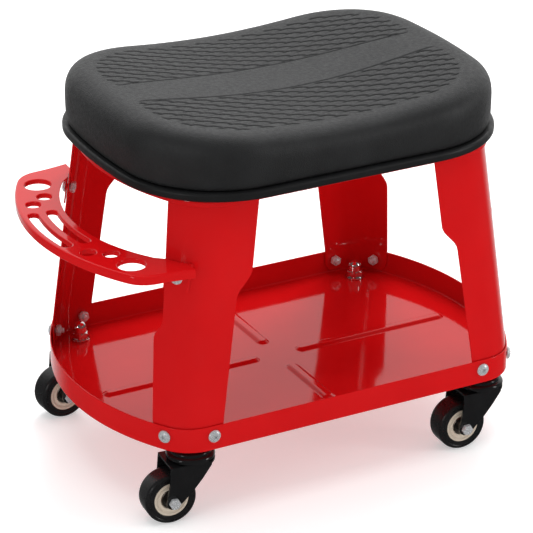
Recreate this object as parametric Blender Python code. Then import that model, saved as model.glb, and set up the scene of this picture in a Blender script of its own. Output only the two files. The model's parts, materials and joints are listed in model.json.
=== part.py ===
"""Mechanic's roller seat: padded stool on four pressed steel legs, parts tray, tool rack, casters.

Metres, +Z up. X runs along the seat, and the tool rack is on the -X end. The floor is z = 0.
The frame's middle is at x = FRAME_X, so that the origin is under the middle of the whole object.
"""
import math

import bmesh
import bpy
from mathutils import Matrix, Vector

# ---------------------------------------------------------------- driving dimensions (metres)
GAP = 0.0003                   # clearance left between meshes that touch
SHEET = 0.0015                 # leg, rack and pan steel

# Outlines with bowed ends: half width, half length, radius of the ends, corner radius
TRAY_OUTLINE = (0.1525, 0.2290, 0.2520, 0.0410)
LEG_TOP_OUTLINE = (0.1405, 0.1940, 0.2520, 0.0500)

TRAY_BOTTOM = 0.0773
TRAY_HEIGHT = 0.0263
TRAY_WALL = 0.0013
TRAY_FLOOR = TRAY_BOTTOM + TRAY_WALL
TRAY_TOP = TRAY_BOTTOM + TRAY_HEIGHT
BEAD_WIDTH = 0.012
BEAD_HEIGHT = 0.0028
BEADS_X = (0.022, 0.195)       # start and end of the two long beads, from the middle
BEADS_Y = (0.027, 0.112)       # start and end of the two short beads

LEG_CLEARANCE = 0.0005         # between a leg and the tray rim it is bolted to
LEG_FOOT_TOP = 0.1060          # below this the leg stands upright against the rim
LEG_TOP = 0.3271
# How far each free edge of a leg is from the middle, up its height: (height, distance)
SIDE_EDGE = ((0.0820, 0.1450), (0.0860, 0.1395), (0.1060, 0.1385), (0.2317, 0.1205),
             (0.2497, 0.1040), (0.3271, 0.0940))
END_EDGE = ((0.0820, 0.1230), (0.0860, 0.1180), (0.1060, 0.1170), (0.1907, 0.1070),
            (0.2027, 0.1150), (0.3271, 0.1040))
TAB_DEPTH = 0.026              # the leg's top tab, turned inwards under the pan

PAN_CLEARANCE = 0.0016         # between the leg tops and the pan's skirt
PAN_TOP = 0.3289
PAN_SKIRT = 0.0060

BOARD_BOTTOM = PAN_TOP + GAP
BOARD_HEIGHT = 0.0085
SEAT_OUTLINE = (0.1570, 0.2010, 0.6500, 0.1050)
CUSHION_BOTTOM = BOARD_BOTTOM + BOARD_HEIGHT + GAP
CUSHION_HEIGHT = 0.0548        # at the seat's two ends
CUSHION_DISH = 0.0125          # how far the seat dips between its ends
DISH_REACH = 0.1750            # from the middle to where the dip ends
# Cushion rings: share of its height, inset from the board's edge
CUSHION_RINGS = ((0.00, 0.0055), (0.06, 0.0037), (0.60, 0.0035), (0.80, 0.0060),
                 (0.92, 0.0114), (0.98, 0.0184), (1.00, 0.0280))

RACK_TOP = 0.2677
RACK_LIP = 0.0090
RACK_CENTRE = -0.0125          # centre of the rack's arcs, along X
RACK_OUTER = 0.2486
RACK_INNER_CENTRE = -0.0340
RACK_INNER = 0.1850
RACK_HALF_WIDTH = 0.1420
RACK_CORNER = 0.0300
RACK_FLARE = 0.0050            # how far each tip runs out sideways
RACK_TIP_X = -0.1650
RACK_TAB_BOTTOM = 0.2397
RACK_TAB = (0.1130, 0.1340)    # the tab's extent in Y
RACK_SCREW_Y = 0.1240
RACK_SCREW_Z = 0.2525
# Rack holes: radius from RACK_CENTRE, angle from -X in degrees, hole diameter
RACK_HOLES = ((0.2270, 28.5, 0.0270), (0.2200, 20.6, 0.0150), (0.2325, 16.0, 0.0150))
# Rack slots: radius from RACK_CENTRE, half angle in degrees, width
RACK_SLOTS = ((0.2375, 9.5, 0.0105), (0.2185, 10.0, 0.0105))

SCREW_Z = TRAY_BOTTOM + 0.0160
SIDE_SCREW_X = 0.1500
END_SCREW_Y = 0.1315
SCREW_HOLE = 0.0032
SCREW_HEAD = 0.0064
NUT_HEIGHT = 0.0050
NUT_GAP = 0.0010               # a flat nut inside a curved leg stands off by this much
SEAT_BOLT = (0.1360, 0.1170)

STEM = (0.1630, 0.1270)        # where each caster's stem stands
TRAIL = 0.0243
WHEEL_RADIUS = 0.0260
CASTER_ANGLES = {"fl": 175.0, "fr": 178.0, "bl": 184.0, "br": 181.0}
CORNERS = {"fl": (-1, -1), "fr": (1, -1), "bl": (-1, 1), "br": (1, 1)}
FORK_PLATE = (0.0614, 0.0634)  # bottom and top of the fork's plate
FORK_FRONT = 0.0265            # how far the plate reaches along the trail
FORK_BACK = 0.0150             # and how far behind the stem
FORK_INNER = 0.0165            # half of the space between the arms
FORK_OUTER = 0.0185
AXLE_RADIUS = 0.0029

FRAME_X = (RACK_OUTER - RACK_CENTRE - TRAY_OUTLINE[1]) / 2

# ---------------------------------------------------------------- colours
RED = (0.60, 0.008, 0.010)
BLACK = (0.012, 0.012, 0.013)
FINISHES = {                   # colour, roughness, metallic
    "red_powder_coat": (RED, 0.18, 0.0),
    "black_foam_skin": ((0.022, 0.022, 0.024), 0.55, 0.0),
    "black_board": ((0.016, 0.017, 0.018), 0.50, 0.0),
    "black_caster_steel": (BLACK, 0.25, 0.2),
    "black_tread": (BLACK, 0.35, 0.0),
    "cream_hub": ((0.62, 0.55, 0.45), 0.40, 0.0),
    "bearing_steel": ((0.30, 0.28, 0.26), 0.35, 1.0),
    "zinc_screw": ((0.72, 0.74, 0.75), 0.30, 1.0),
    "chrome_nut": ((0.80, 0.80, 0.80), 0.08, 1.0),
}


# ---------------------------------------------------------------- mesh helpers
def clear_scene():
    for old in list(bpy.data.objects):
        bpy.data.objects.remove(old, do_unlink=True)


def make_material(name):
    colour, roughness, metallic = FINISHES[name]
    material = bpy.data.materials.new(name)
    material.use_nodes = True
    shader = material.node_tree.nodes["Principled BSDF"]
    shader.inputs["Base Color"].default_value = (*colour, 1.0)
    shader.inputs["Roughness"].default_value = roughness
    shader.inputs["Metallic"].default_value = metallic
    return material


def add_object(name, bm, finish, parent=None, matrix=None):
    bmesh.ops.recalc_face_normals(bm, faces=bm.faces)
    mesh = bpy.data.meshes.new(name)
    bm.to_mesh(mesh)
    bm.free()
    mesh.shade_smooth()
    mesh.set_sharp_from_angle(angle=math.radians(35))
    obj = bpy.data.objects.new(name, mesh)
    bpy.context.scene.collection.objects.link(obj)
    if finish:
        obj.data.materials.append(MATERIALS[finish])
    obj.parent = parent
    if matrix is not None:
        obj.matrix_basis = matrix
    return obj


def add_empty(name, parent=None, location=(0, 0, 0), turn=0.0):
    empty = bpy.data.objects.new(name, None)
    bpy.context.scene.collection.objects.link(empty)
    empty.parent = parent
    empty.location = location
    empty.rotation_euler = (0, 0, turn)
    return empty


def boolean(obj, operation, bm, matrix=None):
    """Join or cut an object with a hidden helper solid that has the same parent."""
    helper = add_object(obj.name + "_helper", bm, None, obj.parent, matrix)
    helper.hide_render = True
    helper.display_type = "WIRE"
    modifier = obj.modifiers.new(operation.lower(), "BOOLEAN")
    modifier.operation = operation
    modifier.solver = "EXACT"
    modifier.object = helper


def loft(rings, wrap=False):
    """Solid through rings of equal length. wrap joins the last ring to the first one."""
    bm = bmesh.new()
    loops = [[bm.verts.new(point) for point in ring] for ring in rings]
    pairs = list(zip(loops, loops[1:]))
    if wrap:
        pairs.append((loops[-1], loops[0]))
    for lower, upper in pairs:
        for i in range(len(lower)):
            j = (i + 1) % len(lower)
            bm.faces.new((lower[i], lower[j], upper[j], upper[i]))
    if not wrap:
        bm.faces.new(loops[0])
        bm.faces.new(loops[-1])
    return bm


def prism(points, low, high):
    return loft([[(x, y, low) for x, y in points], [(x, y, high) for x, y in points]])


def circle(radius, steps, centre=(0.0, 0.0), phase=0.0):
    angles = [phase + 2 * math.pi * i / steps for i in range(steps)]
    return [(centre[0] + radius * math.cos(a), centre[1] + radius * math.sin(a)) for a in angles]


def hexagon(across_flats):
    return circle(across_flats / math.sqrt(3), 6)


def hexagon_ring(across_flats):
    """Hexagon with a point in the middle of each side too, to match a circle of 12 steps."""
    corners = hexagon(across_flats)
    middles = circle(across_flats / 2, 6, phase=math.pi / 6)
    return [point for pair in zip(corners, middles) for point in pair]


def turned(profile, steps):
    """Solid of revolution about Z from (radius, height) points."""
    return loft([at_height(circle(radius, steps), height) for radius, height in profile])


def turned_ring(profile, steps):
    """Ring about Z from a closed profile. Its radii are to the flats, and one faces each axis."""
    step = math.pi / steps
    rings = [at_height(circle(radius / math.cos(step), steps, phase=step), height)
             for radius, height in profile]
    return loft(rings, wrap=True)


def merge(bm, other, matrix=None):
    """Add another mesh's body, to be joined by a later union."""
    mesh = bpy.data.meshes.new("merge")
    if matrix is not None:
        other.transform(matrix)
    other.to_mesh(mesh)
    other.free()
    bm.from_mesh(mesh)
    bpy.data.meshes.remove(mesh)
    return bm


# ---------------------------------------------------------------- outlines
def inset(outline, amount):
    return tuple(value - amount for value in outline)


def blend(first, second, share):
    return tuple(a + (b - a) * share for a, b in zip(first, second))


def corner_frame(outline):
    """End arc's centre, corner arc's centre and the angle where the two arcs meet."""
    half_width, half_length, end_radius, corner = outline
    end_x = half_length - end_radius
    corner_y = half_width - corner
    corner_x = end_x + math.sqrt((end_radius - corner) ** 2 - corner_y ** 2)
    return end_x, corner_x, corner_y, math.atan2(corner_y, corner_x - end_x)


def bowed_outline(outline, corner_steps=7, end_steps=14):
    """Closed outline, counter-clockwise, of a rectangle with bowed ends and round corners."""
    _, _, end_radius, corner = outline
    end_x, corner_x, corner_y, meet = corner_frame(outline)
    quarter = []
    for i in range(end_steps // 2):
        angle = meet * 2 * i / end_steps
        quarter.append((end_x + end_radius * math.cos(angle), end_radius * math.sin(angle)))
    for i in range(corner_steps + 1):
        angle = meet + (math.pi / 2 - meet) * i / corner_steps
        quarter.append((corner_x + corner * math.cos(angle), corner_y + corner * math.sin(angle)))
    left = [(-x, y) for x, y in reversed(quarter)]
    lower_left = [(-x, -y) for x, y in quarter[1:]]
    lower_right = [(x, -y) for x, y in reversed(quarter[1:])]
    return quarter + left + lower_left + lower_right


def seat_outline(amount, side_steps=7):
    """Closed seat outline, inset by an amount, with points along its straight long sides."""
    outline = inset(SEAT_OUTLINE, amount)
    _, corner_x, _, _ = corner_frame(outline)
    points = []
    for x, y in bowed_outline(outline, 6, 6):
        if points and abs(points[-1][0] - x) > 1.9 * corner_x:
            start = points[-1][0]
            points += [(start + (x - start) * i / side_steps, y) for i in range(1, side_steps)]
        points.append((x, y))
    return points


def cushion_height(share, x):
    """Height of a ring of the cushion above its bottom, which dips between the ends."""
    dip = max(0.0, 1 - (x / DISH_REACH) ** 2) ** 1.5
    return share * (CUSHION_HEIGHT - CUSHION_DISH * dip)


def at_height(points, z):
    return [(x, y, z) for x, y in points]


# ---------------------------------------------------------------- legs
def interpolate(table, z):
    for (low, first), (high, second) in zip(table, table[1:]):
        if z <= high:
            share = max(0.0, (z - low) / (high - low))
            return first + (second - first) * share
    return table[-1][1]


LEG_FOOT_OUTLINE = inset(TRAY_OUTLINE, TRAY_WALL + LEG_CLEARANCE)


def leg_outline(z):
    """Outline that the four legs' outer faces lie on, at a height."""
    share = max(0.0, (z - LEG_FOOT_TOP) / (LEG_TOP - LEG_FOOT_TOP))
    return blend(LEG_FOOT_OUTLINE, LEG_TOP_OUTLINE, share)


def corner_curve(outline, side_x, end_y, corner_steps=7):
    """One leg's section in the +X +Y corner, from its side edge to its end edge."""
    half_width, _, end_radius, corner = outline
    end_x, corner_x, corner_y, meet = corner_frame(outline)
    points = [(side_x, half_width)]
    for i in range(corner_steps + 1):
        angle = math.pi / 2 + (meet - math.pi / 2) * i / corner_steps
        points.append((corner_x + corner * math.cos(angle), corner_y + corner * math.sin(angle)))
    points.append((end_x + math.sqrt(end_radius ** 2 - end_y ** 2), end_y))
    return points


def leg_point(y, z, offset=0.0):
    """Point on the end face of the +X +Y leg's outer surface, moved outwards by offset."""
    _, _, end_radius, corner = outline = inset(leg_outline(z), -offset)
    end_x, corner_x, corner_y, meet = corner_frame(outline)
    if y <= end_radius * math.sin(meet):
        return Vector((end_x + math.sqrt(end_radius ** 2 - y * y), y, z))
    return Vector((corner_x + math.sqrt(corner ** 2 - (y - corner_y) ** 2), y, z))


def leg_normal(y, z):
    step = 0.001
    across = leg_point(y + step, z) - leg_point(y - step, z)
    upwards = leg_point(y, z + step) - leg_point(y, z - step)
    return across.cross(upwards).normalized()


def leg_sheet():
    """The +X +Y leg: one sheet that follows the outline, with its edges stepped."""
    heights = sorted({row[0] for row in SIDE_EDGE + END_EDGE})
    rings = []
    for z in heights:
        side_x = interpolate(SIDE_EDGE, z)
        end_y = interpolate(END_EDGE, z)
        outer = corner_curve(leg_outline(z), side_x, end_y)
        inner = corner_curve(inset(leg_outline(z), SHEET), side_x, end_y)
        rings.append(at_height(outer + inner[::-1], z))
    return loft(rings)


def leg_tab():
    """Tab at the top of the +X +Y leg, joined to the middle of the sheet's thickness."""
    middle = inset(leg_outline(LEG_TOP), SHEET / 2)
    edge = corner_curve(middle, SIDE_EDGE[-1][1] + 0.004, END_EDGE[-1][1] + 0.004)
    edge.append((edge[-1][0] - TAB_DEPTH, edge[-1][1]))
    edge.append((edge[0][0] + TAB_DEPTH / 3, edge[0][1] - TAB_DEPTH))
    return prism(edge, LEG_TOP - SHEET, LEG_TOP)


def outward(point, normal):
    """Matrix that puts local +Z along a normal at a point."""
    return Matrix.Translation(point) @ normal.to_track_quat("Z", "Y").to_matrix().to_4x4()


def corner_normal(y):
    """Normal of the tray rim's end at a Y, in plan."""
    _, _, end_radius, _ = TRAY_OUTLINE
    return Vector((math.sqrt(end_radius ** 2 - y * y), y, 0)).normalized()


def tray_end_point(y):
    _, half_length, end_radius, _ = TRAY_OUTLINE
    x = half_length - end_radius + math.sqrt(end_radius ** 2 - y * y)
    return Vector((x, y, SCREW_Z))


def corner_matrix(sign_x, sign_y):
    return Matrix.Diagonal((sign_x, sign_y, 1, 1))


def mirrored(vector, signs):
    return Vector((vector.x * signs[0], vector.y * signs[1], vector.z))


def corner_screw_frames(signs):
    """Where a corner's two tray screws go: one through the long side, one through the end."""
    side = outward(mirrored(Vector((SIDE_SCREW_X, TRAY_OUTLINE[0], SCREW_Z)), signs),
                   mirrored(Vector((0, 1, 0)), signs))
    end = outward(mirrored(tray_end_point(END_SCREW_Y), signs),
                  mirrored(corner_normal(END_SCREW_Y), signs))
    return side, end


def rack_screw_frame(signs):
    point = leg_point(RACK_SCREW_Y, RACK_SCREW_Z)
    normal = leg_normal(RACK_SCREW_Y, RACK_SCREW_Z)
    return outward(mirrored(point, signs), mirrored(normal, signs))


def drill(radius, low=-0.010, high=0.010, steps=8):
    return prism(circle(radius, steps), low, high)


def build_leg(key):
    signs = CORNERS[key]
    flip = corner_matrix(*signs)
    sheet = leg_sheet()
    sheet.transform(flip)
    leg = add_object("leg_" + key, sheet, "red_powder_coat", FRAME)
    tab = leg_tab()
    tab.transform(flip)
    boolean(leg, "UNION", tab)
    for matrix in corner_screw_frames(signs):
        boolean(leg, "DIFFERENCE", drill(SCREW_HOLE), matrix)
    boolean(leg, "DIFFERENCE", drill(SCREW_HOLE), rack_screw_frame(signs))
    at_bolt = Matrix.Translation((SEAT_BOLT[0] * signs[0], SEAT_BOLT[1] * signs[1], LEG_TOP))
    boolean(leg, "DIFFERENCE", drill(SCREW_HOLE), at_bolt)


# ---------------------------------------------------------------- tray and seat
def bead(start, end, along_y):
    """Raised bead on the tray floor: a bar with round ends and sloping sides."""
    def bar(narrow, z):
        radius = BEAD_WIDTH / 2 - narrow
        low = start + BEAD_WIDTH / 2
        high = end - BEAD_WIDTH / 2
        half_turn = [math.pi / 2 + math.pi * i / 6 for i in range(7)]
        points = [(low + radius * math.cos(a), radius * math.sin(a)) for a in half_turn]
        points += [(high - radius * math.cos(a), -radius * math.sin(a)) for a in half_turn]
        if along_y:
            points = [(-y, x) for x, y in points]
        return at_height(points, z)
    return loft([bar(0.0, TRAY_FLOOR - 0.0005), bar(0.0, TRAY_FLOOR + 0.0005),
                 bar(0.0024, TRAY_FLOOR + BEAD_HEIGHT)])


def build_tray():
    rows = ((TRAY_BOTTOM, 0.0020), (TRAY_BOTTOM + 0.0020, 0.0), (TRAY_TOP, 0.0),
            (TRAY_TOP, TRAY_WALL), (TRAY_FLOOR + 0.0020, TRAY_WALL), (TRAY_FLOOR, 0.0033))
    rings = [at_height(bowed_outline(inset(TRAY_OUTLINE, amount)), z) for z, amount in rows]
    tray = add_object("tray", loft(rings), "red_powder_coat", FRAME)
    for start, end, along_y in ((*BEADS_X, False), (*BEADS_Y, True)):
        boolean(tray, "UNION", bead(start, end, along_y))
        boolean(tray, "UNION", bead(-end, -start, along_y))
    for signs in CORNERS.values():
        for matrix in corner_screw_frames(signs):
            boolean(tray, "DIFFERENCE", drill(SCREW_HOLE), matrix)
        at_stem = Matrix.Translation((STEM[0] * signs[0], STEM[1] * signs[1], TRAY_BOTTOM))
        boolean(tray, "DIFFERENCE", drill(0.0054), at_stem)


def cushion_body():
    """Cushion's sides as rings, closed at the top by strips across the seat."""
    rings = [[(x, y, CUSHION_BOTTOM + cushion_height(share, x)) for x, y in seat_outline(amount)]
             for share, amount in CUSHION_RINGS]
    bm = bmesh.new()
    loops = [[bm.verts.new(point) for point in ring] for ring in rings]
    count = len(loops[0])
    for lower, upper in zip(loops, loops[1:]):
        for i in range(count):
            j = (i + 1) % count
            bm.faces.new((lower[i], lower[j], upper[j], upper[i]))
    bm.faces.new(loops[0])
    top = loops[-1]
    bm.faces.new((top[0], top[1], top[-1]))
    for i in range(1, count // 2 - 1):
        bm.faces.new((top[i], top[i + 1], top[-i - 1], top[-i]))
    bm.faces.new((top[count // 2 - 1], top[count // 2], top[count // 2 + 1]))
    return bm


def build_seat():
    pan = inset(LEG_TOP_OUTLINE, -(PAN_CLEARANCE + TRAY_WALL))
    ceiling = PAN_TOP - SHEET
    skirt_low = PAN_TOP - PAN_SKIRT
    rows = ((ceiling, TRAY_WALL + 0.0014), (ceiling - 0.0014, TRAY_WALL), (skirt_low, TRAY_WALL),
            (skirt_low, 0.0), (PAN_TOP - 0.0020, 0.0), (PAN_TOP, 0.0020))
    rings = [at_height(bowed_outline(inset(pan, amount)), z) for z, amount in rows]
    top_plate = add_object("top_plate", loft(rings), "red_powder_coat", FRAME)

    board_rows = ((0.0, 0.0012), (0.0012, 0.0), (BOARD_HEIGHT - 0.0018, 0.0), (BOARD_HEIGHT, 0.0018))
    board = loft([at_height(seat_outline(amount), BOARD_BOTTOM + z) for z, amount in board_rows])
    seat_base = add_object("seat_base", board, "black_board", FRAME)
    add_object("cushion", cushion_body(), "black_foam_skin", FRAME)

    for key, (sign_x, sign_y) in CORNERS.items():
        centre = (SEAT_BOLT[0] * sign_x, SEAT_BOLT[1] * sign_y, 0)
        place = Matrix.Translation(centre)
        boolean(top_plate, "DIFFERENCE", drill(SCREW_HOLE, 0.320, 0.340), place)
        boolean(seat_base, "DIFFERENCE", drill(SCREW_HOLE, 0.320, BOARD_BOTTOM + 0.0070), place)
        head_top = LEG_TOP - SHEET - GAP
        bolt = add_object("seat_bolt_" + key, prism(hexagon(0.010), head_top - 0.004, head_top),
                          "zinc_screw", FRAME, place)
        shank = prism(circle(0.0028, 10), head_top - 0.002, BOARD_BOTTOM + 0.0065)
        boolean(bolt, "UNION", shank, place)


# ---------------------------------------------------------------- tool rack
def rack_arc(radius, centre, start, end, steps):
    """Arc about (centre, 0), with angles measured from -X towards +Y in degrees."""
    angles = [math.radians(start + (end - start) * i / steps) for i in range(steps + 1)]
    return [(centre - radius * math.cos(a), radius * math.sin(a)) for a in angles]


def rack_edge(amount):
    """Rack's outer edge, inset by an amount, from the +Y tip round to the -Y tip."""
    side_y = RACK_HALF_WIDTH - amount
    radius = RACK_OUTER - amount
    corner = RACK_CORNER - amount
    centre_y = side_y - corner
    reach = math.sqrt((radius - corner) ** 2 - centre_y ** 2)
    centre_x = RACK_CENTRE - reach
    meet = math.atan2(centre_y, reach)
    half = [(RACK_TIP_X, side_y + RACK_FLARE)]
    for i in range(6):
        angle = math.pi / 2 + (meet - math.pi / 2) * i / 5
        half.append((centre_x - corner * math.cos(angle), centre_y + corner * math.sin(angle)))
    middle = rack_arc(radius, RACK_CENTRE, math.degrees(meet), -math.degrees(meet), 16)[1:-1]
    return half + middle + [(x, -y) for x, y in reversed(half)]


def rack_inner_edge():
    """Rack's inner edge from the -Y tip to the +Y tip: along the legs, then a hollow arc."""
    along_leg = []
    for i in range(4):
        y = RACK_TAB[0] + (0.1295 - RACK_TAB[0]) * (3 - i) / 3
        point = leg_point(y, RACK_TOP - SHEET, LEG_CLEARANCE)
        along_leg.append((-point.x, -y))
    limit = math.degrees(math.asin(0.104 / RACK_INNER))
    hollow = rack_arc(RACK_INNER, RACK_INNER_CENTRE, -limit, limit, 14)
    return along_leg + hollow + [(x, -y) for x, y in reversed(along_leg)]


def rack_tab(sign_y):
    """Tab turned down from the rack against a leg's outer face."""
    rings = []
    for i in range(5):
        y = RACK_TAB[0] + (RACK_TAB[1] - RACK_TAB[0]) * i / 4
        ring = []
        for z, offset in ((RACK_TAB_BOTTOM, 0), (RACK_TAB_BOTTOM, SHEET),
                          (RACK_TOP - 0.0002, SHEET), (RACK_TOP - 0.0002, 0)):
            point = leg_point(y, z, LEG_CLEARANCE + offset)
            ring.append((-point.x, sign_y * y, z))
        rings.append(ring)
    return loft(rings)


def rack_slot(radius, half_angle, width):
    """Curved slot of one width with round ends."""
    outer = rack_arc(radius + width / 2, RACK_CENTRE, -half_angle, half_angle, 8)
    inner = rack_arc(radius - width / 2, RACK_CENTRE, half_angle, -half_angle, 8)
    ends = []
    for sign in (1, -1):
        angle = math.radians(half_angle * sign)
        centre = Vector((RACK_CENTRE - radius * math.cos(angle), radius * math.sin(angle)))
        along = Vector((math.sin(angle), math.cos(angle))) * sign
        out = Vector((-math.cos(angle), math.sin(angle))) * sign
        turns = [math.pi * i / 6 for i in range(1, 6)]
        ends.append([tuple(centre + (out * math.cos(t) + along * math.sin(t)) * width / 2)
                     for t in turns])
    return outer + ends[0] + inner + ends[1]


def build_rack():
    low = RACK_TOP - SHEET
    edge = rack_edge(0.0)
    rack = add_object("tool_rack", prism(edge + rack_inner_edge(), low, RACK_TOP),
                      "red_powder_coat", FRAME)
    lip = edge + rack_edge(SHEET)[::-1]
    boolean(rack, "UNION", prism(lip, RACK_TOP - RACK_LIP, low + SHEET / 2))
    for sign in (1, -1):
        boolean(rack, "UNION", rack_tab(sign))
        for radius, angle, width in RACK_HOLES:
            turn = math.radians(angle * sign)
            centre = (RACK_CENTRE - radius * math.cos(turn), radius * math.sin(turn))
            steps = 20 if width > 0.02 else 12
            hole = prism(circle(width / 2, steps, centre), low - 0.004, RACK_TOP + 0.004)
            boolean(rack, "DIFFERENCE", hole)
    for slot in RACK_SLOTS:
        boolean(rack, "DIFFERENCE", prism(rack_slot(*slot), low - 0.004, RACK_TOP + 0.004))
    for key in ("fl", "bl"):
        boolean(rack, "DIFFERENCE", drill(SCREW_HOLE), rack_screw_frame(CORNERS[key]))


# ---------------------------------------------------------------- screws
def pan_screw(seat, tip, nut_top=None):
    """Pan-head screw along Z: head above z = seat, shank down to z = tip, and its nut if any."""
    shank = circle(0.0027, 12)
    rings = [at_height(shank, tip)]
    if nut_top is not None:
        nut = hexagon_ring(0.010)
        low = nut_top - NUT_HEIGHT
        rings += [at_height(shank, low), at_height(nut, low), at_height(nut, nut_top),
                  at_height(shank, nut_top)]
    rings.append(at_height(shank, seat))
    for radius, height in ((SCREW_HEAD, 0.0), (0.0058, 0.0020), (0.0022, 0.0036)):
        rings.append(at_height(circle(radius, 12), seat + height))
    return loft(rings)


def build_screws():
    nut_seat = -(TRAY_WALL + LEG_CLEARANCE + SHEET + NUT_GAP)
    for key, signs in CORNERS.items():
        for side, matrix in zip(("side", "end"), corner_screw_frames(signs)):
            screw = pan_screw(GAP, nut_seat - 0.0085, nut_seat)
            add_object("tray_screw_" + side + "_" + key, screw, "zinc_screw", FRAME, matrix)
    for key in ("fl", "bl"):
        matrix = rack_screw_frame(CORNERS[key])
        seat = LEG_CLEARANCE + SHEET + GAP
        nut_top = -(SHEET + NUT_GAP)
        add_object("rack_screw_" + key, pan_screw(seat, nut_top - 0.0060), "zinc_screw",
                   FRAME, matrix)
        nut = prism(hexagon(0.010), nut_top - NUT_HEIGHT, nut_top)
        rack_nut = add_object("rack_nut_" + key, nut, "zinc_screw", FRAME, matrix)
        boolean(rack_nut, "DIFFERENCE", drill(0.0031, nut_top - 0.006, nut_top + 0.001), matrix)


# ---------------------------------------------------------------- casters
def stem_body():
    """Threaded stem with its shoulder, round cap and the rivet that holds the fork."""
    cap_low = FORK_PLATE[1] + 0.0004
    shoulder = TRAY_BOTTOM - GAP
    profile = ((0.0088, 0.0579), (0.0088, FORK_PLATE[0] - 0.0004),
               (0.0060, FORK_PLATE[0] - 0.0004), (0.0060, cap_low), (0.0220, cap_low),
               (0.0240, 0.0655), (0.0240, 0.0675), (0.0212, 0.0698), (0.0204, 0.0735),
               (0.0100, 0.0740), (0.0100, shoulder), (0.0049, shoulder), (0.0049, 0.0965))
    return turned(profile, 16)


def acorn_body():
    """Domed nut with its washer, with a blind hole for the stem."""
    bore = circle(0.0053, 12)
    washer = circle(0.0100, 12)
    nut = hexagon_ring(0.0160)
    low = TRAY_FLOOR + GAP
    rings = [at_height(bore, 0.0971), at_height(bore, low), at_height(washer, low),
             at_height(washer, low + 0.0015), at_height(nut, low + 0.0015),
             at_height(nut, low + 0.0085)]
    for radius, height in ((0.0076, 0.0090), (0.0074, 0.0120), (0.0056, 0.0175), (0.0024, 0.0200)):
        rings.append(at_height(circle(radius, 12), low + height))
    return loft(rings)


def fork_arm_outline():
    """Side view of a fork arm, along (trail, height): nearly upright in front, sloping behind."""
    tip = 0.0074
    points = [(-FORK_BACK, FORK_PLATE[0] + 0.001), (-FORK_BACK, 0.0598), (-0.0056, 0.0467),
              (0.0042, 0.0350)]
    for i in range(6):
        angle = math.radians(222 + (365 - 222) * i / 5)
        points.append((TRAIL + tip * math.cos(angle), WHEEL_RADIUS + tip * math.sin(angle)))
    points.append((0.0280, 0.0450))
    points.append((FORK_FRONT, FORK_PLATE[0] + 0.001))
    return points


def fork_body():
    plate = [(FORK_FRONT, -FORK_OUTER), (FORK_FRONT, FORK_OUTER)]
    radius = math.hypot(FORK_BACK, FORK_OUTER)
    corner = math.atan2(FORK_OUTER, -FORK_BACK)
    for i in range(7):
        angle = corner + (math.pi - corner) * i / 3
        plate.append((radius * math.cos(angle), radius * math.sin(angle)))
    return prism(plate, *FORK_PLATE)


def stand_up(points, side):
    """Prism from a side-view outline, as thick as a fork arm, at one side of the wheel."""
    inner = FORK_INNER * side
    outer = FORK_OUTER * side
    return loft([[(t, inner, z) for t, z in points], [(t, outer, z) for t, z in points]])


def build_caster(key):
    sign_x, sign_y = CORNERS[key]
    place = (STEM[0] * sign_x, STEM[1] * sign_y, 0)
    stand = Matrix.Translation(place)
    add_object("caster_stem_" + key, stem_body(), "black_caster_steel", FRAME, stand)
    add_object("acorn_nut_" + key, acorn_body(), "chrome_nut", FRAME, stand)

    swivel = add_empty("swivel_" + key, FRAME, place, math.radians(CASTER_ANGLES[key]))
    fork = add_object("fork_" + key, fork_body(), "black_caster_steel", swivel)
    for side in (-1, 1):
        boolean(fork, "UNION", stand_up(fork_arm_outline(), side))
    boolean(fork, "DIFFERENCE", drill(0.0067, 0.055, 0.066, 14))
    axle_line = Matrix.Translation((TRAIL, 0, WHEEL_RADIUS)) @ Matrix.Rotation(math.pi / 2, 4, "X")
    boolean(fork, "DIFFERENCE", drill(0.0034, -0.03, 0.03), axle_line)

    # Along the axle line, local +Z points to the side where the bolt's head is
    head = FORK_OUTER + GAP
    side = 1 if math.cos(math.radians(CASTER_ANGLES[key])) > 0 else -1
    bolt_line = axle_line @ Matrix.Diagonal((1, 1, side, 1))
    bolt = add_object("axle_bolt_" + key, prism(hexagon(0.010), head, head + 0.0045),
                      "zinc_screw", swivel, bolt_line)
    boolean(bolt, "UNION", prism(circle(AXLE_RADIUS, 10), -head - 0.0065, head + 0.002), bolt_line)
    nut = add_object("axle_nut_" + key, prism(hexagon(0.010), -head - NUT_HEIGHT, -head),
                     "zinc_screw", swivel, bolt_line)
    boolean(nut, "DIFFERENCE", drill(0.0032, -head - 0.006, -head + 0.001), bolt_line)

    wheel = add_empty("wheel_" + key, swivel, (TRAIL, 0, WHEEL_RADIUS))
    sideways = Matrix.Rotation(math.pi / 2, 4, "X")
    tread = ((0.0178, -0.0118), (0.0233, -0.0121), (0.0260, -0.0086),
             (0.0260, 0.0086), (0.0233, 0.0121), (0.0178, 0.0118))
    hub = ((0.0102, -0.0110), (0.0174, -0.0116), (0.0174, 0.0116), (0.0102, 0.0110))
    race = ((0.0034, -0.0158), (0.0054, -0.0158), (0.0098, -0.0104),
            (0.0098, 0.0104), (0.0054, 0.0158), (0.0034, 0.0158))
    for name, profile, steps, finish in (("tread_", tread, 24, "black_tread"),
                                         ("hub_", hub, 24, "cream_hub"),
                                         ("bearing_", race, 12, "bearing_steel")):
        add_object(name + key, turned_ring(profile, steps), finish, wheel, sideways)


clear_scene()
MATERIALS = {name: make_material(name) for name in FINISHES}
FRAME = add_empty("frame", None, (FRAME_X, 0, 0))
build_seat()
build_tray()
build_rack()
build_screws()
for corner_key in CORNERS:
    build_leg(corner_key)
    build_caster(corner_key)
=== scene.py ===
"""Looks of a mechanic's roller seat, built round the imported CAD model.

Metres, +Z up, in the CAD model's frame. X runs along the seat and the tool rack is on the -X end.
Fixed pieces are made about the middle of the tray, and then moved by MIDDLE_X.
"""
import json
import math

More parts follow.
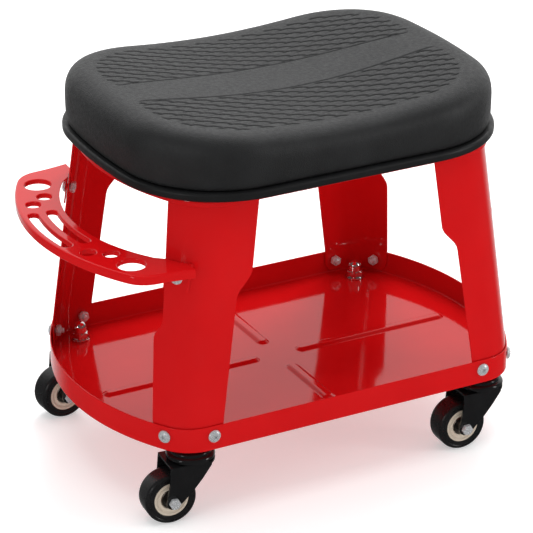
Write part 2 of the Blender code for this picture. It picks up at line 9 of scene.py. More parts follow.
import bmesh
import bpy
import numpy as np
from mathutils import Matrix, Vector
from mathutils.geometry import delaunay_2d_cdt


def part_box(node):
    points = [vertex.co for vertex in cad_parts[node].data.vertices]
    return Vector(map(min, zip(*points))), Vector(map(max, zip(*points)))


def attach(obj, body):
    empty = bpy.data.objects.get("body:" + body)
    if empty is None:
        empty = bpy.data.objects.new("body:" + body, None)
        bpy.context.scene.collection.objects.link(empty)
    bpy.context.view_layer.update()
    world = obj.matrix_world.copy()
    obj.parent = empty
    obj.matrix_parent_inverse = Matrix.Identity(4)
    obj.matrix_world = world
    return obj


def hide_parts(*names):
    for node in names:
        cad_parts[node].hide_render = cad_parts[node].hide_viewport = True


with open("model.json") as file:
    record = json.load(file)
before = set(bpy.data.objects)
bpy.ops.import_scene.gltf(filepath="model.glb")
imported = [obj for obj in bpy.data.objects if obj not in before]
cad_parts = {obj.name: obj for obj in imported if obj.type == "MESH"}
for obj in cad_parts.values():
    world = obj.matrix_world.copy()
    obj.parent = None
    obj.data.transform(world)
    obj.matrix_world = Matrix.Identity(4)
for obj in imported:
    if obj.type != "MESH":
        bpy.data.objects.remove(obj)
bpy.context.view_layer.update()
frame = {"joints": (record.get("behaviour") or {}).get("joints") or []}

# ---------------- sizes from the CAD frame
GAP = 0.0003
SHEET = 0.0015
TRAY_WALL = 0.0013
tray_low, tray_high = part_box("tray")
leg_low, leg_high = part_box("leg_fl")
pan_low, pan_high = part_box("top_plate")
board_low, board_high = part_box("seat_base")
cushion_low, cushion_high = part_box("cushion")
rack_low, rack_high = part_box("tool_rack")
MIDDLE_X = (tray_low.x + tray_high.x) / 2

# Outlines with bowed ends: half width, half length, radius of the ends, corner radius
BOW_RADIUS = 0.2520
TRAY_OUTLINE = (tray_high.y, tray_high.x - MIDDLE_X, BOW_RADIUS, 0.0410)
LEG_TOP_OUTLINE = (0.1405, 0.1940, BOW_RADIUS, 0.0500)
SEAT_OUTLINE = (board_high.y, board_high.x - MIDDLE_X, 0.6500, 0.1050)
TRAY_FLOOR = tray_low.z + TRAY_WALL
LEG_CLEARANCE = 0.0005
LEG_FOOT_TOP = 0.1060
LEG_TOP = leg_high.z
SIDE_EDGE = ((0.0820, 0.1450), (0.0860, 0.1395), (0.1060, 0.1385), (0.2317, 0.1205),
             (0.2497, 0.1040), (0.3271, 0.0940))
END_EDGE = ((0.0820, 0.1230), (0.0860, 0.1180), (0.1060, 0.1170), (0.1907, 0.1070),
            (0.2027, 0.1150), (0.3271, 0.1040))
LEG_ROWS = 56
TAB_DEPTH = 0.0260
TAB_INSET = 0.0040             # from the leg's side edges to its tab's

RACK_TOP = rack_high.z
RACK_CENTRE = -0.0125
RACK_OUTER = MIDDLE_X + RACK_CENTRE - rack_low.x
RACK_INNER_CENTRE = -0.0340
RACK_INNER = 0.1850
RACK_HALF_WIDTH = 0.1420
RACK_FLARE = rack_high.y - RACK_HALF_WIDTH
RACK_CORNER = 0.0300
RACK_TIP_X = -0.1650
RACK_LIP = 0.0090
RACK_TAB = (0.1130, 0.1340)
RACK_SCREW = (0.1240, 0.2525)
RACK_HOLES = ((0.2270, 28.5, 0.0270), (0.2200, 20.6, 0.0150), (0.2325, 16.0, 0.0150))
RACK_SLOTS = ((0.2375, 9.5, 0.0105), (0.2185, 10.0, 0.0105))

SCREW_Z = tray_low.z + 0.0160
SIDE_SCREW_X = 0.1500
END_SCREW_Y = 0.1315
SEAT_BOLT = (0.1360, 0.1170)
SCREW_HOLE = 0.0032            # radius of every screw's hole
NUT_FLATS = 0.0100             # across the flats of the nuts and bolt heads
NUT_HEIGHT = 0.0050
NUT_BORE = 0.0028
NUT_GAP = 0.0010               # a flat nut inside a curved leg stands off by this much
CORNERS = {"fl": (-1, -1), "fr": (1, -1), "bl": (-1, 1), "br": (1, 1)}
JOINTS = {joint["name"]: joint for joint in frame["joints"]}


# ---------------- materials
NOISE_RANGE = (0.3, 0.7)       # where most of a noise texture's values lie


def set_range(node, *numbers):
    for socket, number in zip(("From Min", "From Max", "To Min", "To Max"), numbers):
        node.inputs[socket].default_value = number


class Nodes:
    """A procedural material: a Principled shader and short calls that feed it."""

    def __init__(self, name, roughness, metallic=0.0, **sockets):
        self.material = bpy.data.materials.new(name)
        self.material.use_nodes = True
        self.tree = self.material.node_tree
        self.shader = self.tree.nodes["Principled BSDF"]
        self.shader.inputs["Roughness"].default_value = roughness
        self.shader.inputs["Metallic"].default_value = metallic
        for socket, value in sockets.items():
            self.shader.inputs[socket.replace("_", " ")].default_value = value
        self.where = self.node("ShaderNodeTexCoord").outputs["Object"]
        self.normal = None

    def node(self, kind, **settings):
        made = self.tree.nodes.new(kind)
        for key, value in settings.items():
            setattr(made, key, value)
        return made

    def link(self, source, target):
        self.tree.links.new(source, target)

    def noise(self, scale, detail=2.0, stretch=None):
        made = self.node("ShaderNodeTexNoise")
        made.inputs["Scale"].default_value = scale
        made.inputs["Detail"].default_value = detail
        source = self.where
        if stretch:
            mapping = self.node("ShaderNodeMapping")
            mapping.inputs["Scale"].default_value = stretch
            self.link(source, mapping.inputs["Vector"])
            source = mapping.outputs["Vector"]
        self.link(source, made.inputs["Vector"])
        return made.outputs["Fac"]

    def cells(self, scale):
        made = self.node("ShaderNodeTexVoronoi", feature="F1")
        made.inputs["Scale"].default_value = scale
        self.link(self.where, made.inputs["Vector"])
        return made.outputs["Distance"]

    def spread(self, noise, first, last):
        """Stretch a noise's usual range so that it runs from first to last."""
        made = self.node("ShaderNodeMapRange")
        set_range(made, *NOISE_RANGE, first, last)
        self.link(noise, made.inputs["Value"])
        return made.outputs["Result"]

    def colour(self, value, first, last):
        made = self.node("ShaderNodeMix", data_type="RGBA")
        self.link(value, made.inputs["Factor"])
        made.inputs["A"].default_value = (*first, 1.0)
        made.inputs["B"].default_value = (*last, 1.0)
        self.link(made.outputs["Result"], self.shader.inputs["Base Color"])

    def rough(self, value):
        self.link(value, self.shader.inputs["Roughness"])

    def bump(self, height, distance):
        made = self.node("ShaderNodeBump")
        made.inputs["Distance"].default_value = distance
        made.inputs["Strength"].default_value = 1.0
        self.link(height, made.inputs["Height"])
        if self.normal is not None:
            self.link(self.normal, made.inputs["Normal"])
        self.normal = made.outputs["Normal"]
        self.link(self.normal, self.shader.inputs["Normal"])


def red_powder_coat():
    """Glossy red powder coat: faint orange peel, and a film that is a little uneven."""
    made = Nodes("red_powder_coat_look", 0.08, IOR=1.5)
    film = made.spread(made.noise(14.0, 3.0), 0.0, 1.0)
    made.colour(film, (0.560, 0.0045, 0.0060), (0.600, 0.0060, 0.0075))
    made.rough(made.spread(made.noise(60.0, 3.0), 0.055, 0.095))
    made.bump(made.noise(420.0), 0.000012)
    return made.material


def foam_skin():
    """Moulded black foam skin: a fine leather grain, with painted shade down in its grooves, which
    are duller too.
    """
    made = Nodes("black_foam_skin_look", 0.5, IOR=1.5, Specular_IOR_Level=0.62)
    groove = made.node("ShaderNodeAttribute", attribute_name="groove").outputs["Fac"]
    # Painted shade: the skin's colour goes much darker down in the grooves, by the groove
    # attribute, and the noise adds random tone.
    groove_shade_and_tone = made.node("ShaderNodeMath", operation="MAXIMUM")
    made.link(groove, groove_shade_and_tone.inputs[0])
    made.link(made.spread(made.noise(35.0, 4.0), 0.0, 0.3), groove_shade_and_tone.inputs[1])
    made.colour(groove_shade_and_tone.outputs["Value"], (0.0165, 0.0169, 0.0176), (0.0012, 0.0012, 0.0014))
    duller = made.node("ShaderNodeMath", operation="MULTIPLY_ADD")
    made.link(groove, duller.inputs[0])
    duller.inputs[1].default_value = 0.3
    made.link(made.spread(made.noise(260.0, 3.0), 0.44, 0.58), duller.inputs[2])
    made.rough(duller.outputs["Value"])
    made.bump(made.cells(900.0), 0.00020)
    made.bump(made.noise(1500.0), 0.00008)
    return made.material


def coated(name, roughness, colours, sheen, grain, ior=1.5):
    """Two close colours, an uneven sheen and a fine grain, each with its own noise.

    colours: scale, first, last. sheen: scale, detail, low, high. grain: scale, height.
    """
    made = Nodes(name, roughness, IOR=ior)
    scale, first, last = colours
    made.colour(made.noise(scale, 3.0), first, last)
    scale, detail, low, high = sheen
    made.rough(made.spread(made.noise(scale, detail), low, high))
    scale, height = grain
    made.bump(made.noise(scale), height)
    return made.material


def metal(name, first, last, low, high, metallic=1.0):
    """Plated or ground steel with fine marks in one direction."""
    made = Nodes(name, (low + high) / 2, metallic)
    marks = made.noise(900.0, 3.0, (1.0, 1.0, 8.0))
    made.colour(made.noise(140.0, 3.0), first, last)
    made.rough(made.spread(marks, low, high))
    made.bump(marks, 0.00001)
    return made.material


LOOKS = {
    "red_powder_coat": red_powder_coat(),
    "black_foam_skin": foam_skin(),
    "black_board": coated("black_board_look", 0.45,
                          (50.0, (0.006, 0.0062, 0.0066), (0.012, 0.0124, 0.013)),
                          (180.0, 3.0, 0.38, 0.52), (1400.0, 0.00005), 1.48),
    "black_caster_steel": coated("black_caster_steel_look", 0.22,
                                 (80.0, (0.0050, 0.0050, 0.0055), (0.0100, 0.0100, 0.0105)),
                                 (220.0, 3.0, 0.10, 0.20), (600.0, 0.00002)),
    "black_tread": coated("black_tread_look", 0.3,
                          (90.0, (0.0060, 0.0060, 0.0065), (0.0130, 0.0130, 0.0135)),
                          (300.0, 4.0, 0.24, 0.38), (900.0, 0.00002)),
    "cream_hub": coated("cream_hub_look", 0.38, (120.0, (0.60, 0.50, 0.39), (0.70, 0.62, 0.51)),
                        (300.0, 3.0, 0.32, 0.46), (700.0, 0.00002)),
    "bearing_steel": metal("bearing_steel_look", (0.22, 0.18, 0.15), (0.36, 0.32, 0.29),
                           0.22, 0.40),
    "zinc_screw": metal("zinc_screw_look", (0.66, 0.68, 0.70), (0.82, 0.84, 0.86),
                        0.18, 0.34, 0.55),
    "chrome_nut": metal("chrome_nut_look", (0.74, 0.74, 0.74), (0.84, 0.84, 0.84), 0.04, 0.12),
}


# ---------------- mesh helpers
def add_object(name, data):
    made = bpy.data.objects.new(name, data)
    bpy.context.scene.collection.objects.link(made)
    return made


def to_mesh(name, bm):
    bmesh.ops.recalc_face_normals(bm, faces=bm.faces)
    mesh = bpy.data.meshes.new(name)
    bm.to_mesh(mesh)
    bm.free()
    return mesh


def add_piece(name, shape, finish, stands_for=(), matrix=None, body="frame", sharp=30.0,
              bevel=0.0):
    """Put a mesh or bmesh in the scene as a piece of a body, in place of some CAD nodes."""
    mesh = shape if isinstance(shape, bpy.types.Mesh) else to_mesh(name, shape)
    mesh.shade_smooth()
    mesh.set_sharp_from_angle(angle=math.radians(sharp))
    mesh.materials.clear()
    mesh.materials.append(LOOKS[finish])
    piece = add_object(name, mesh)
    piece.matrix_world = matrix if matrix is not None else Matrix.Translation((MIDDLE_X, 0, 0))
    if bevel:
        rounding = piece.modifiers.new("rounding", "BEVEL")
        rounding.width = bevel
        rounding.segments = 2
        rounding.limit_method = "ANGLE"
        rounding.angle_limit = math.radians(sharp)
        rounding.harden_normals = True
    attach(piece, body)
    if stands_for:
        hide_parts(*stands_for)
    return piece


def flatten(piece):
    """Keep the normals of big flat faces flat, beside the small curved ones at their edges."""
    weighted = piece.modifiers.new("flat", "WEIGHTED_NORMAL")
    weighted.mode = "FACE_AREA"
    weighted.weight = 90
    weighted.keep_sharp = True


def add_loop(bm, points):
    return [bm.verts.new(point) for point in points]


def bridge(bm, first, second, closed=True):
    count = len(first)
    for i in range(count if closed else count - 1):
        j = (i + 1) % count
        bm.faces.new((first[i], first[j], second[j], second[i]))


def skin(bm, rings, closed=True):
    """Faces through rings of points. Gives back the first and the last loop of vertices."""
    loops = [add_loop(bm, ring) for ring in rings]
    for first, second in zip(loops, loops[1:]):
        bridge(bm, first, second, closed)
    return loops


def loft(rings, wrap=False):
    bm = bmesh.new()
    loops = skin(bm, rings)
    if wrap:
        bridge(bm, loops[-1], loops[0])
    else:
        bm.faces.new(loops[0])
        bm.faces.new(loops[-1])
    return bm


def is_inside(loop, x, y):
    inside = False
    for (x0, y0), (x1, y1) in zip(loop, loop[1:] + loop[:1]):
        if (y0 > y) != (y1 > y) and x < (x1 - x0) * (y - y0) / (y1 - y0) + x0:
            inside = not inside
    return inside


def loop_edges(start, count):
    return [(start + i, start + (i + 1) % count) for i in range(count)]


def fill_between(bm, verts, edges, skip):
    """Triangles between vertices that edges join, except where skip(x, y) is true."""
    points = [Vector((v.co.x, v.co.y)) for v in verts]
    flat, _, faces, origins, _, _ = delaunay_2d_cdt(points, edges, [], 1, 1e-8)
    for face in faces:
        x = sum(flat[i].x for i in face) / len(face)
        y = sum(flat[i].y for i in face) / len(face)
        if not skip(x, y):
            bm.faces.new([verts[origins[i][0]] for i in face])


def fill_flat(bm, outer, holes=()):
    """Triangles between an outer loop of vertices and hole loops, all at one height."""
    verts = list(outer)
    edges = loop_edges(0, len(outer))
    for hole in holes:
        edges += loop_edges(len(verts), len(hole))
        verts += hole
    rims = [[(v.co.x, v.co.y) for v in hole] for hole in holes]
    fill_between(bm, verts, edges, lambda x, y: any(is_inside(rim, x, y) for rim in rims))


def fill_plate(bm, upper, lower, walls):
    """A plate's top and bottom faces, open at its holes' walls: pairs of lower and upper loops."""
    fill_flat(bm, upper, [wall[1] for wall in walls])
    fill_flat(bm, lower, [wall[0] for wall in walls])


def arc(centre, radius_x, radius_y, start, end, steps):
    """Points of an elliptical arc between two angles. A negative radius mirrors it."""
    angles = [start + (end - start) * i / steps for i in range(steps + 1)]
    return [(centre[0] + radius_x * math.cos(a), centre[1] + radius_y * math.sin(a))
            for a in angles]


def circle(radius, steps, centre=(0.0, 0.0)):
    return arc(centre, radius, radius, 0.0, 2 * math.pi, steps)[:-1]


def at_height(points, z):
    return [(x, y, z) for x, y in points]


def circles(profile, steps, centre=(0.0, 0.0)):
    """Rings of points about an upright line, from (radius, height) points."""
    return [at_height(circle(radius, steps, centre), height) for radius, height in profile]


def turned(profile, steps=72, wrap=False):
    """Solid of revolution about Z, or a ring if wrapped, from (radius, height) points."""
    return loft(circles(profile, steps), wrap)


def quarter(radius, across, up, up_sign, steps, rising=True):
    """Quarter-round (inset, height) points from a flat into a wall, or from a wall into a flat."""
    turns = [math.pi / 2 * i / steps for i in range(steps + 1)]
    if not rising:
        turns = turns[::-1]
    return [(across + radius * (1 - math.sin(t)), up + up_sign * radius * (1 - math.cos(t)))
            for t in turns]


def half_round(radius, up, up_sign, steps):
    """Half-round (inset, height) points over a sheet's edge, from its outer to its inner face."""
    return arc((radius, up), -radius, up_sign * radius, 0.0, math.pi, steps)


def spline(points, steps):
    """Catmull-Rom curve through points, with the ends kept."""
    padded = [points[0], *points, points[-1]]
    made = []
    for a, b, c, d in zip(padded, padded[1:], padded[2:], padded[3:]):
        for i in range(steps):
            t = i / steps
            made.append(tuple(
                0.5 * (2 * q + (r - p) * t + (2 * p - 5 * q + 4 * r - s) * t * t
                       + (3 * q - p - 3 * r + s) * t ** 3)
                for p, q, r, s in zip(a, b, c, d)))
    made.append(tuple(points[-1]))
    return made


# ---------------- outlines
def inset(outline, amount):
    return tuple(value - amount for value in outline)


def corner_frame(outline):
    """End arc's centre, corner arc's centre and the angle where the two arcs meet."""
    half_width, half_length, end_radius, corner = outline
    end_x = half_length - end_radius
    corner_y = half_width - corner
    corner_x = end_x + math.sqrt((end_radius - corner) ** 2 - corner_y ** 2)
    return end_x, corner_x, corner_y, math.atan2(corner_y, corner_x - end_x)


def bowed_outline(outline, corner_steps=18, end_steps=28):
    """Closed outline, counter-clockwise, of a rectangle with bowed ends and round corners."""
    _, _, end_radius, corner = outline
    end_x, corner_x, corner_y, meet = corner_frame(outline)
    points = arc((end_x, 0.0), end_radius, end_radius, 0.0, meet, end_steps // 2)[:-1]
    points += arc((corner_x, corner_y), corner, corner, meet, math.pi / 2, corner_steps)
    left = [(-x, y) for x, y in reversed(points)]
    lower_left = [(-x, -y) for x, y in points[1:]]
    lower_right = [(x, -y) for x, y in reversed(points[1:])]
    return points + left + lower_left + lower_right


def seat_outline(amount, side_steps=36):
    """Closed seat outline, inset by an amount, with points along its straight long sides."""
    outline = inset(SEAT_OUTLINE, amount)
    _, corner_x, _, _ = corner_frame(outline)
    points = []
    for x, y in bowed_outline(outline, 26, 40):
        if points and abs(points[-1][0] - x) > 1.9 * corner_x:
            start = points[-1][0]
            points += [(start + (x - start) * i / side_steps, y) for i in range(1, side_steps)]
        points.append((x, y))
    return points


# ---------------- legs
def interpolate(table, z):
    for (low, first), (high, second) in zip(table, table[1:]):
        if z <= high:
            share = max(0.0, (z - low) / (high - low))
            return first + (second - first) * share
    return table[-1][1]


def rounded_edge(table, z, reach=0.004, steps=8):
    """A table's value with its corners rounded, by averaging it over a reach in height."""
    values = [interpolate(table, z + reach * (2 * i / steps - 1)) for i in range(steps + 1)]
    return sum(values) / len(values)


LEG_FOOT_OUTLINE = inset(TRAY_OUTLINE, TRAY_WALL + LEG_CLEARANCE)


def leg_outline(z):
    """Outline that the four legs' outer faces lie on, at a height."""
    share = max(0.0, (z - LEG_FOOT_TOP) / (LEG_TOP - LEG_FOOT_TOP))
    return tuple(a + (b - a) * share for a, b in zip(LEG_FOOT_OUTLINE, LEG_TOP_OUTLINE))


def corner_curve(outline, side_x, end_y, corner_steps=22, flat_steps=4):
    """One leg's section in the +X +Y corner, from its side edge to its end edge."""
    half_width, _, end_radius, corner = outline
    end_x, corner_x, corner_y, meet = corner_frame(outline)
    points = [(side_x + (corner_x - side_x) * i / flat_steps, half_width)
              for i in range(flat_steps)]
    points += arc((corner_x, corner_y), corner, corner, math.pi / 2, meet, corner_steps)
    last_y = end_radius * math.sin(meet)
    for i in range(1, flat_steps + 1):
        y = last_y + (end_y - last_y) * i / flat_steps
        points.append((end_x + math.sqrt(end_radius ** 2 - y ** 2), y))
    return points


def leg_point(y, z, offset=0.0):
    """Point on the end face of the +X +Y leg's outer surface, moved outwards by offset."""
    _, _, end_radius, corner = outline = inset(leg_outline(z), -offset)
    end_x, corner_x, corner_y, meet = corner_frame(outline)
    if y <= end_radius * math.sin(meet):
        return Vector((end_x + math.sqrt(end_radius ** 2 - y * y), y, z))
    return Vector((corner_x + math.sqrt(corner ** 2 - (y - corner_y) ** 2), y, z))


def leg_normal(y, z):
    step = 0.001
    across = leg_point(y + step, z) - leg_point(y - step, z)
    upwards = leg_point(y, z + step) - leg_point(y, z - step)
    return across.cross(upwards).normalized()


def leg_section(z):
    side_x = rounded_edge(SIDE_EDGE, z) + SHEET / 2
    end_y = rounded_edge(END_EDGE, z) + SHEET / 2
    outer = corner_curve(leg_outline(z), side_x, end_y)
    inner = corner_curve(inset(leg_outline(z), SHEET), side_x, end_y)
    ring = list(outer)
    for tip, before, other, rest in ((outer[-1], outer[-2], inner[-1], inner[::-1]),
                                     (inner[0], inner[1], outer[0], ())):
        tip, before, other = Vector(tip), Vector(before), Vector(other)
        ahead = (tip - before).normalized()
        middle = (tip + other) / 2
        half = (tip - other) / 2
        for turn in (math.pi / 4, math.pi / 2, 3 * math.pi / 4):
            ring.append(tuple(middle + half * math.cos(turn)
                              + ahead * half.length * math.sin(turn)))
        ring += rest
    return at_height(ring, z)


def leg_sheet():
    heights = [leg_low.z + (LEG_TOP - leg_low.z) * i / LEG_ROWS for i in range(LEG_ROWS + 1)]
    return loft([leg_section(z) for z in heights])


def leg_tab():
    """Tab at the top of the +X +Y leg, bent inwards under the pan."""
    middle = inset(leg_outline(LEG_TOP), SHEET / 2)
    edge = corner_curve(middle, SIDE_EDGE[-1][1] + TAB_INSET, END_EDGE[-1][1] + TAB_INSET)
    edge.append((edge[-1][0] - TAB_DEPTH, edge[-1][1]))
    edge.append((edge[0][0] + TAB_DEPTH / 3, edge[0][1] - TAB_DEPTH))
    return loft([at_height(edge, LEG_TOP - SHEET), at_height(edge, LEG_TOP)])


def outward(point, normal):
    """Matrix that puts local +Z along a normal at a point."""
    return Matrix.Translation(point) @ normal.to_track_quat("Z", "Y").to_matrix().to_4x4()


def mirrored(vector, signs):
    return Vector((vector.x * signs[0], vector.y * signs[1], vector.z))


def corner_screw_frames(signs):
    """Where a corner's two tray screws go: one through the long side, one through the end."""
    half_width, half_length, end_radius, _ = TRAY_OUTLINE
    reach = math.sqrt(end_radius ** 2 - END_SCREW_Y ** 2)
    side = outward(mirrored(Vector((SIDE_SCREW_X, half_width, SCREW_Z)), signs),
                   mirrored(Vector((0, 1, 0)), signs))
    end = outward(mirrored(Vector((half_length - end_radius + reach, END_SCREW_Y, SCREW_Z)), signs),
                  mirrored(Vector((reach, END_SCREW_Y, 0)).normalized(), signs))
    return side, end


def rack_screw_frame(signs):
    return outward(mirrored(leg_point(*RACK_SCREW), signs),
                   mirrored(leg_normal(*RACK_SCREW), signs))


def cut(body, cutters, joined=()):
    """Mesh of a body with others joined to it and cutters taken from it, all given as bmeshes."""
    main = add_object("part", to_mesh("part", body))
    helpers = []
    for operation, bodies in (("UNION", joined), ("DIFFERENCE", cutters)):
        for bm in bodies:
            helpers.append(add_object("part", to_mesh("part", bm)))
            modifier = main.modifiers.new("step", "BOOLEAN")
            modifier.operation = operation
            modifier.solver = "EXACT"
            modifier.object = helpers[-1]
    bpy.context.view_layer.update()
    graph = bpy.context.evaluated_depsgraph_get()
    mesh = bpy.data.meshes.new_from_object(main.evaluated_get(graph))
    for obj in (main, *helpers):
        bpy.data.objects.remove(obj)
    return mesh


def drill(radius, matrix, low=-0.010, high=0.010):
    """Cylinder along a matrix's Z, to cut a hole with."""
    bm = turned([(radius, low), (radius, high)], 28)
    bm.transform(matrix)
    return bm


def build_legs():
    frames = [*corner_screw_frames((1, 1)), rack_screw_frame((1, 1)),
              Matrix.Translation((*SEAT_BOLT, LEG_TOP))]
    mesh = cut(leg_sheet(), [drill(SCREW_HOLE, matrix) for matrix in frames], [leg_tab()])
    for key, (sign_x, sign_y) in CORNERS.items():
        leg = mesh.copy()
        leg.transform(Matrix.Diagonal((sign_x, sign_y, 1, 1)))
        if sign_x * sign_y < 0:
            leg.flip_normals()
        flatten(add_piece("leg_shell_" + key, leg, "red_powder_coat", ["leg_" + key], sharp=40))
    bpy.data.meshes.remove(mesh)


# ---------------- tray
BEAD_WIDTH = 0.0120
BEAD_HEIGHT = 0.0028
BEADS_X = (0.022, 0.195)
BEADS_Y = (0.027, 0.112)
BEAD_ROWS = 10
BEAD_SPREAD = 0.0014           # how far a bead's foot runs out past its width
BEAD_SLOPE = 0.0052            # from a bead's foot in to its crown
TRAY_FILLET = 0.0032
STEM_HOLE = 0.0054


def add_bore(bm, radius, steps, centre, low, high):
    """Wall of a round upright hole. Gives back its lower and its upper loop."""
    return skin(bm, circles([(radius, low), (radius, high)], steps, centre))


def bead_ring(start, end, along_y, narrow, z):
    """Bar outline with round ends, narrower by an amount on every side."""
    radius = BEAD_WIDTH / 2 - narrow
    low = start + BEAD_WIDTH / 2
    high = end - BEAD_WIDTH / 2
    turn = (math.pi / 2, 3 * math.pi / 2, 14)
    points = arc((low, 0.0), radius, radius, *turn) + arc((high, 0.0), -radius, -radius, *turn)
    if along_y:
        points = [(-y, x) for x, y in points]
    return at_height(points, z)


def add_bead(bm, spec, z, offset=0.0):
    """Embossed bead's sloping sides and crown. Gives back its loop at the floor."""
    rings = []
    for i in range(BEAD_ROWS + 1):
        share = i / BEAD_ROWS
        narrow = -BEAD_SPREAD + BEAD_SLOPE * share + offset
        rings.append(bead_ring(*spec, narrow, z + BEAD_HEIGHT * smooth_step(share ** 0.85, 0, 1)))
    loops = skin(bm, rings)
    bm.faces.new(loops[-1])
    return loops[0]


def build_tray():
    bm = bmesh.new()
    edge = TRAY_WALL / 2
    low, high = tray_low.z, tray_high.z
    rows = quarter(TRAY_FILLET, 0.0, low, 1, 6)
    rows += half_round(edge, high - edge, 1, 8)
    rows += quarter(TRAY_FILLET - TRAY_WALL, TRAY_WALL, TRAY_FLOOR, 1, 6, rising=False)
    loops = skin(bm, [at_height(bowed_outline(inset(TRAY_OUTLINE, amount)), z)
                      for amount, z in rows])
    specs = [(*BEADS_X, False), (-BEADS_X[1], -BEADS_X[0], False),
             (*BEADS_Y, True), (-BEADS_Y[1], -BEADS_Y[0], True)]
    above = [add_bead(bm, spec, TRAY_FLOOR) for spec in specs]
    below = [add_bead(bm, spec, low, 0.0007) for spec in specs]
    walls = list(zip(below, above))
    for key in CORNERS:
        x, y, _ = JOINTS["caster_swivel_" + key]["pos_m"]
        walls.append(add_bore(bm, STEM_HOLE, 24, (x - MIDDLE_X, y), low, TRAY_FLOOR))
    fill_plate(bm, loops[-1], loops[0], walls)
    holes = [drill(SCREW_HOLE, matrix) for signs in CORNERS.values()
             for matrix in corner_screw_frames(signs)]
    flatten(add_piece("tray_shell", cut(bm, holes), "red_powder_coat", ["tray"], sharp=40))


# ---------------- pan, board and cushion
PAN_EDGE = 0.0029              # from the leg tops' outline out to the pan's
PAN_BEND = 0.0020


def build_pan():
    bm = bmesh.new()
    outline = inset(LEG_TOP_OUTLINE, -PAN_EDGE)
    edge = TRAY_WALL / 2
    top, ceiling, bottom = pan_high.z, pan_high.z - SHEET, pan_low.z
    rows = quarter(PAN_BEND, 0.0, top, -1, 5)
    rows += half_round(edge, bottom + edge, -1, 6)
    rows += quarter(0.0012, TRAY_WALL, ceiling, -1, 4, rising=False)
    loops = skin(bm, [at_height(bowed_outline(inset(outline, amount)), z) for amount, z in rows])
    walls = [add_bore(bm, SCREW_HOLE, 20, (SEAT_BOLT[0] * sign_x, SEAT_BOLT[1] * sign_y),
                      ceiling, top) for sign_x, sign_y in CORNERS.values()]
    fill_plate(bm, loops[0], loops[-1], walls)
    flatten(add_piece("seat_pan", bm, "red_powder_coat", ["top_plate"], sharp=35))


def build_board():
    rows = quarter(0.0022, 0.0, board_low.z, 1, 5)
    rows += quarter(0.0030, 0.0, board_high.z, -1, 6, rising=False)
    add_piece("trim_board", loft([at_height(seat_outline(amount), z) for amount, z in rows]),
              "black_board", ["seat_base"], sharp=35)


# Cushion's side: height above its bottom, inset from the board's edge
CUSHION_PROFILE = ((0.0000, 0.0085), (0.0012, 0.0058), (0.0060, 0.0042), (0.0200, 0.0036),
                   (0.0330, 0.0038), (0.0410, 0.0056), (0.0470, 0.0092), (0.0512, 0.0146),
                   (0.0536, 0.0210), (0.0544, 0.0280))
CUSHION_HEIGHT = cushion_high.z - cushion_low.z
DISH = 0.0125                  # how far the middle of the seat is lower than its ends
DISH_LENGTH = 0.1750
GRID_X = 0.00125
GRID_Y = 0.00095
PANEL_INSET = 0.0340           # from the seat's edge to the edge of its two patterned panels
BAND_MIDDLE = 0.0315           # half width of the smooth band between the panels
BAND_END = 0.0245
BAND_LENGTH = 0.1500
PANEL_CORNER = 0.0110
SCALE_HALF = 0.0130            # half of a scale's width
SCALE_PITCH = 0.0070
GROOVE_DEPTH = 0.0012
GROOVE_HALF = 0.0016


def dish_share(x):
    """How much of the cushion's height is left at a place along it."""
    share = np.clip(1 - (np.abs(x) / DISH_LENGTH) ** 2, 0, 1) ** 1.5
    return 1 - DISH / CUSHION_HEIGHT * share


def outline_depth(x, y):
    """Distance inwards from the seat's outline, for arrays of places."""
    loop = np.array(seat_outline(0.0, 12))
    best = np.full(x.shape, 1e9)
    inside = np.zeros(x.shape, bool)
    for (x0, y0), (x1, y1) in zip(loop, np.roll(loop, -1, 0)):
        dx, dy = x1 - x0, y1 - y0
        share = np.clip(((x - x0) * dx + (y - y0) * dy) / (dx * dx + dy * dy), 0, 1)
        best = np.minimum(best, (x - x0 - share * dx) ** 2 + (y - y0 - share * dy) ** 2)
        if y0 != y1:
            crossing = ((y0 > y) != (y1 > y)) & (x < (x1 - x0) * (y - y0) / (y1 - y0) + x0)
            inside ^= crossing
    return np.where(inside, np.sqrt(best), -np.sqrt(best))


def smooth_step(value, low, high):
    """0 below low and 1 above high, with a smooth rise between, for a number or an array."""
    share = np.clip((value - low) / (high - low), 0, 1)
    return share * share * (3 - 2 * share)


def scale_groove(x, y):
    """How deep the fish-scale grooves are, from 0 to 1, which also sets the painted shade in them:
    deepest and darkest from a crown to its +X end, the side that the light leaves in shade.
    """
    radius = (SCALE_HALF ** 2 + SCALE_PITCH ** 2) / (2 * SCALE_PITCH)
    deepest = np.zeros(x.shape)
    row = np.floor(y / SCALE_PITCH)
    for step in (-1, 0, 1):
        near = row + step
        shift = np.where(np.mod(near, 2) < 0.5, 0.0, SCALE_HALF)
        across = np.mod(x + shift + SCALE_HALF, 2 * SCALE_HALF) - SCALE_HALF
        centre = near * SCALE_PITCH + SCALE_PITCH - radius
        gap = np.abs(np.hypot(across, y - centre) - radius)
        below = np.clip(near * SCALE_PITCH - y, 0, None)
        groove = 1 - smooth_step(np.hypot(gap, below), 0.0, GROOVE_HALF)
        # Painted shade: each groove is deeper and darker on its +X half, which the light leaves in
        # shade, than on its -X half.
        weight = 0.15 + 0.85 * smooth_step(across, -0.0070, -0.0010)
        weight = weight * (1 - 0.7 * smooth_step(across, 0.0105, 0.0130))
        deepest = np.maximum(deepest, groove * weight)
    return deepest


